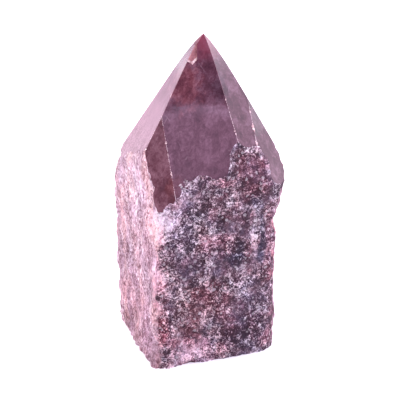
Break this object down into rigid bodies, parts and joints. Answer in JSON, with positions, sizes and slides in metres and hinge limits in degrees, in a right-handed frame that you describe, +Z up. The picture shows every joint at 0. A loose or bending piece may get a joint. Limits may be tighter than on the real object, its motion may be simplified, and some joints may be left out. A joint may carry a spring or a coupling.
{
  "type": "mineral point",
  "caption": "Free-standing mineral point: a rough upright block of mauve mica rock with a flat foot and a polished, faceted tip.",
  "frame": {"origin": "a point near the middle of the flat foot, on the surface that the stone stands on", "axes": "+Z up from the foot to the tip, -Y out of the broad front face, +X to the right of that face"},
  "size_m": [0.0432, 0.0365, 0.1],
  "materials": {
    "stone": "rough broken mica rock on the upright faces, glossy hand polish on the sloping faces of the tip"
  },
  "bodies": {
    "root": {"fuchsite_point": "stone"}
  },
  "joints": []
}
